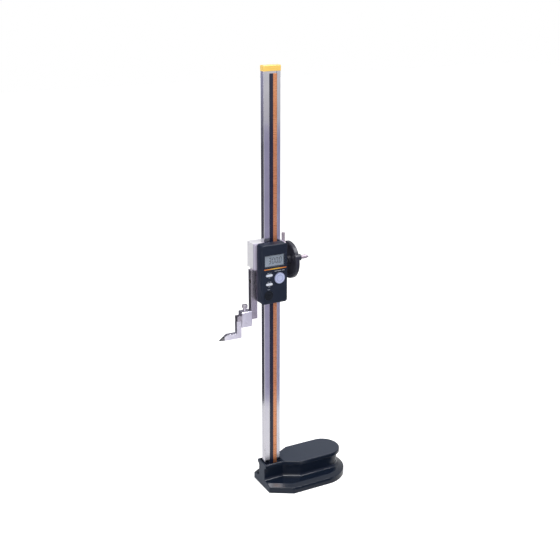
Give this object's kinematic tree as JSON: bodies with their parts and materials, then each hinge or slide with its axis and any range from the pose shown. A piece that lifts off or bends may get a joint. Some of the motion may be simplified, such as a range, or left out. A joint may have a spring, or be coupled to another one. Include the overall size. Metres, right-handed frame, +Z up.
{
  "type": "height gauge",
  "caption": "Digital height gauge: painted base with a hand grip, rack column, geared slider with a display unit, feed wheel and a clamped carbide scriber.",
  "frame": {"origin": "on the surface plate (the base's underside), under the column's axis", "axes": "+Z up along the column; +X from the column along the base's grip, so the scriber points along -X; -Y is the front, with the scale and the display"},
  "size_m": [0.2634, 0.115, 0.81],
  "materials": {
    "painted_casting": "black enamel on iron",
    "column_steel": "ground, satin chromed",
    "scale_copper": "copper pattern under lacquer",
    "scale_black": "printed film",
    "cap_yellow": "moulded",
    "black_screw": "blackened",
    "plated_screw": "zinc plated",
    "satin_steel": "satin ground",
    "cover_plate": "satin black",
    "carbide": "ground carbide",
    "case_plastic": "fine moulded grain",
    "window_clear": "clear",
    "lcd_grey": "reflective display",
    "stripe_orange": "printed",
    "circuit_board": "solder mask",
    "black_plastic": "moulded",
    "black_rubber": "soft",
    "key_white": "moulded",
    "key_lavender": "moulded",
    "battery_steel": "plated",
    "bronze": "sintered",
    "housing_alloy": "turned",
    "shaft_steel": "ground",
    "wheel_black": "moulded",
    "handle_chrome": "polished"
  },
  "bodies": {
    "base_and_column": {"base_casting": "painted_casting", "column_bolts": "black_screw", "column_beam": "column_steel", "scale_strip": "scale_copper", "scale_cover_strip": "scale_black", "rack": "column_steel", "rack_screws": "plated_screw", "top_cap": "cap_yellow", "top_cap_screws": "plated_screw"},
    "slider": {"slider_body": "satin_steel", "slider_back_cover": "cover_plate", "back_cover_screws": "plated_screw", "gib_strip": "satin_steel", "gib_screws": "black_screw", "detector_board": "circuit_board", "board_link": "black_plastic", "display_case_back": "case_plastic", "display_case_front": "case_plastic", "unit_screws": "plated_screw", "lcd_window": "window_clear", "lcd_module": "lcd_grey", "main_board": "circuit_board", "board_screws": "plated_screw", "keypad_membrane": "black_rubber", "coin_battery": "battery_steel", "battery_contact": "battery_steel", "output_connector": "black_plastic", "stripe_inlay": "stripe_orange", "measuring_arm": "satin_steel", "arm_screw": "black_screw", "arm_dowels": "plated_screw", "shaft_bushes": "bronze", "shaft_housing": "housing_alloy", "housing_screws": "plated_screw"},
    "feed_wheel_and_pinion": {"feed_wheel": "wheel_black", "wheel_screw": "black_screw", "pinion_shaft": "shaft_steel", "pinion": "shaft_steel", "pinion_pin": "plated_screw", "crank_pin": "plated_screw"},
    "crank_handle": {"crank_handle": "handle_chrome"},
    "slider_lock": {"clamp_screw": "handle_chrome", "clamp_lever": "handle_chrome"},
    "power_button": {"power_button": "key_white"},
    "zero_button": {"zero_button": "key_white"},
    "data_button": {"data_button": "key_lavender"},
    "battery_cap": {"battery_cap": "black_plastic"},
    "connector_cap": {"connector_cap": "black_rubber"},
    "scriber_clamp": {"scriber_clamp_box": "satin_steel"},
    "thumb_screw": {"thumb_screw": "satin_steel"},
    "scriber": {"scriber_body": "satin_steel", "carbide_tip": "carbide"}
  },
  "joints": [
    {"name": "slider_travel", "type": "slide", "parent": "base_and_column", "child": "slider", "axis": [0, 0, 1], "range_m": [-0.322, 0.278]},
    {"name": "feed_wheel_spin", "type": "hinge", "parent": "slider", "child": "feed_wheel_and_pinion", "pos_m": [0.04915, 0.0128, 0.453], "axis": [1, 0, 0], "range_deg": [-2311, 1996]},
    {"name": "crank_handle_spin", "type": "hinge", "parent": "feed_wheel_and_pinion", "child": "crank_handle", "pos_m": [0.0528, -0.01521, 0.46375], "axis": [1, 0, 0], "continuous": true},
    {"name": "clamp_lever_turn", "type": "hinge", "parent": "slider", "child": "slider_lock", "pos_m": [0.02245, 0, 0.49], "axis": [1, 0, 0], "range_deg": [-75, 75]},
    {"name": "power_button_press", "type": "slide", "parent": "slider", "child": "power_button", "axis": [0, 1, 0], "range_m": [0, 0.0008], "stiffness_N_per_m": 800},
    {"name": "zero_button_press", "type": "slide", "parent": "slider", "child": "zero_button", "axis": [0, 1, 0], "range_m": [0, 0.0008], "stiffness_N_per_m": 800},
    {"name": "data_button_press", "type": "slide", "parent": "slider", "child": "data_button", "axis": [0, 1, 0], "range_m": [0, 0.0008], "stiffness_N_per_m": 800},
    {"name": "battery_cap_turn", "type": "hinge", "parent": "slider", "child": "battery_cap", "pos_m": [-0.01845, -0.02805, 0.4045], "axis": [0, 1, 0], "range_deg": [0, 90]},
    {"name": "connector_cap_pull", "type": "slide", "parent": "slider", "child": "connector_cap", "axis": [1, 0, 0], "range_m": [0, 0.008]},
    {"name": "scriber_clamp_slide", "type": "slide", "parent": "slider", "child": "scriber_clamp", "axis": [-1, 0, 0], "range_m": [0, 0.008]},
    {"name": "thumb_screw_turn", "type": "hinge", "parent": "scriber_clamp", "child": "thumb_screw", "pos_m": [-0.05375, -0.0005, 0.37255], "axis": [0, 0, 1], "range_deg": [-180, 180]},
    {"name": "scriber_slide", "type": "slide", "parent": "scriber_clamp", "child": "scriber", "axis": [-1, 0, 0], "range_m": [0, 0.012]}
  ],
  "couplings": [
    {"joint": "feed_wheel_spin", "follows": "slider_travel", "rad_per_m": 125}
  ]
}
